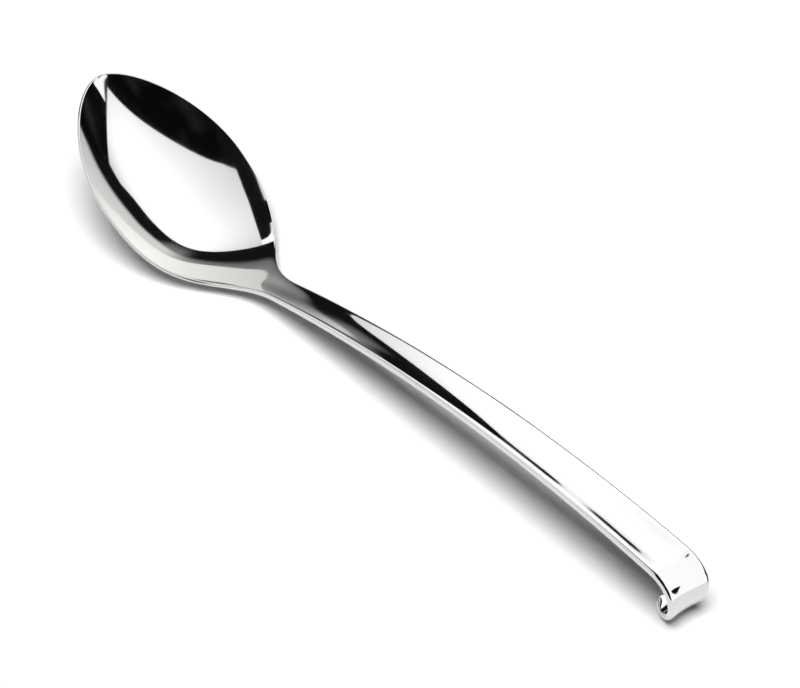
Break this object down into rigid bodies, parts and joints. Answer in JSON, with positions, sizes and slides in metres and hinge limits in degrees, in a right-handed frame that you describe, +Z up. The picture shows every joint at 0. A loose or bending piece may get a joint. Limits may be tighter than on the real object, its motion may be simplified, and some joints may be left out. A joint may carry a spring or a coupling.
{
  "type": "serving spoon",
  "caption": "Polished stainless steel serving spoon with a pointed oval bowl, a cranked neck and an arched flat handle whose end curls under into a hanging hook.",
  "frame": {"origin": "centre of the bounding box in X and Y, on the table plane", "axes": "+X from the bowl's tip to the hook, +Y across the spoon, +Z up from the table it lies on"},
  "size_m": [0.301, 0.0592, 0.0412],
  "materials": {
    "steel": "mirror-polished stainless steel, fine polishing marks, edges buffed"
  },
  "bodies": {
    "root": {"bowl": "steel", "neck": "steel", "handle": "steel", "hook": "steel"}
  },
  "joints": []
}
